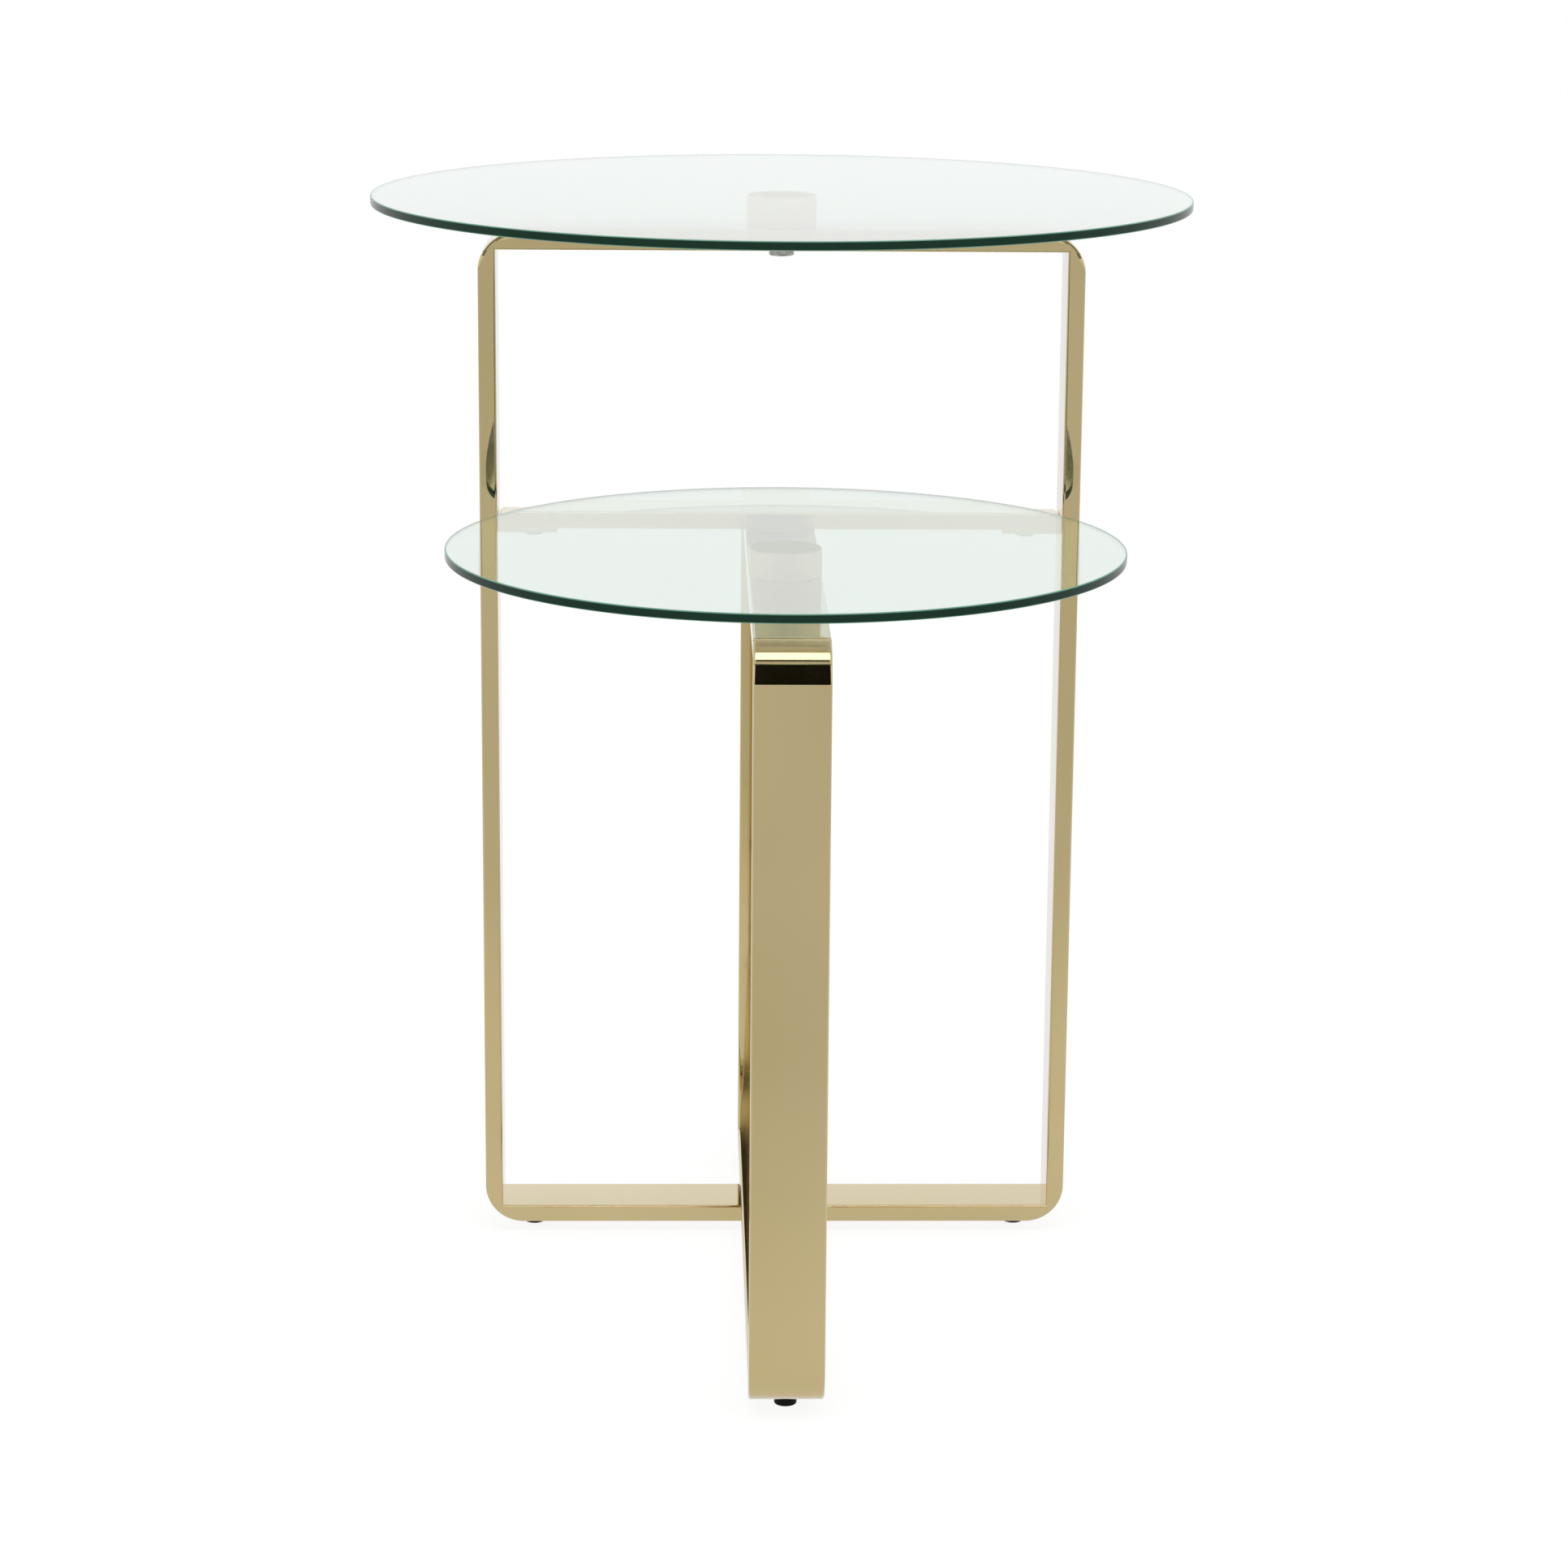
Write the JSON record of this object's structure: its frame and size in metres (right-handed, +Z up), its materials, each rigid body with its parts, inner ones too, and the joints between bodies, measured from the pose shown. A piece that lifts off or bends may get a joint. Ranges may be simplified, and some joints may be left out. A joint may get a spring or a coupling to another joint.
{
  "type": "tiered side table",
  "caption": "Tiered side table with round clear glass tops on bosses, carried by crossing closed loops of polished gold-coloured flat tube that stand on small pads.",
  "frame": {"origin": "on the floor, at the middle of the table's outline seen from above", "axes": "+Z up, +Y from the front, where the lower glass stands out, to the rear, +X to the right seen from the front"},
  "size_m": [0.4599, 0.5634, 0.608],
  "materials": {
    "gold_plate": "mirror-polished pale gold plating",
    "fastener_steel": "plain bright zinc-plated steel",
    "clear_glass": "clear float glass with polished rims that show green",
    "bond_film": "clear cured adhesive film",
    "black_plastic": "black moulded plastic with a bevelled lower edge"
  },
  "bodies": {
    "root": {"tall_frame": "gold_plate", "low_frame": "gold_plate", "cross_rail": "gold_plate", "left_rail_lug": "gold_plate", "right_rail_lug": "gold_plate", "left_rail_screw": "fastener_steel", "right_rail_screw": "fastener_steel", "left_rail_nut": "fastener_steel", "right_rail_nut": "fastener_steel", "upper_glass": "clear_glass", "lower_glass": "clear_glass", "upper_bond": "bond_film", "lower_bond": "bond_film", "upper_boss": "gold_plate", "lower_boss": "gold_plate", "upper_boss_bolt": "fastener_steel", "lower_boss_bolt": "fastener_steel", "left_foot": "black_plastic", "right_foot": "black_plastic", "front_foot": "black_plastic", "rear_foot": "black_plastic"}
  },
  "joints": []
}
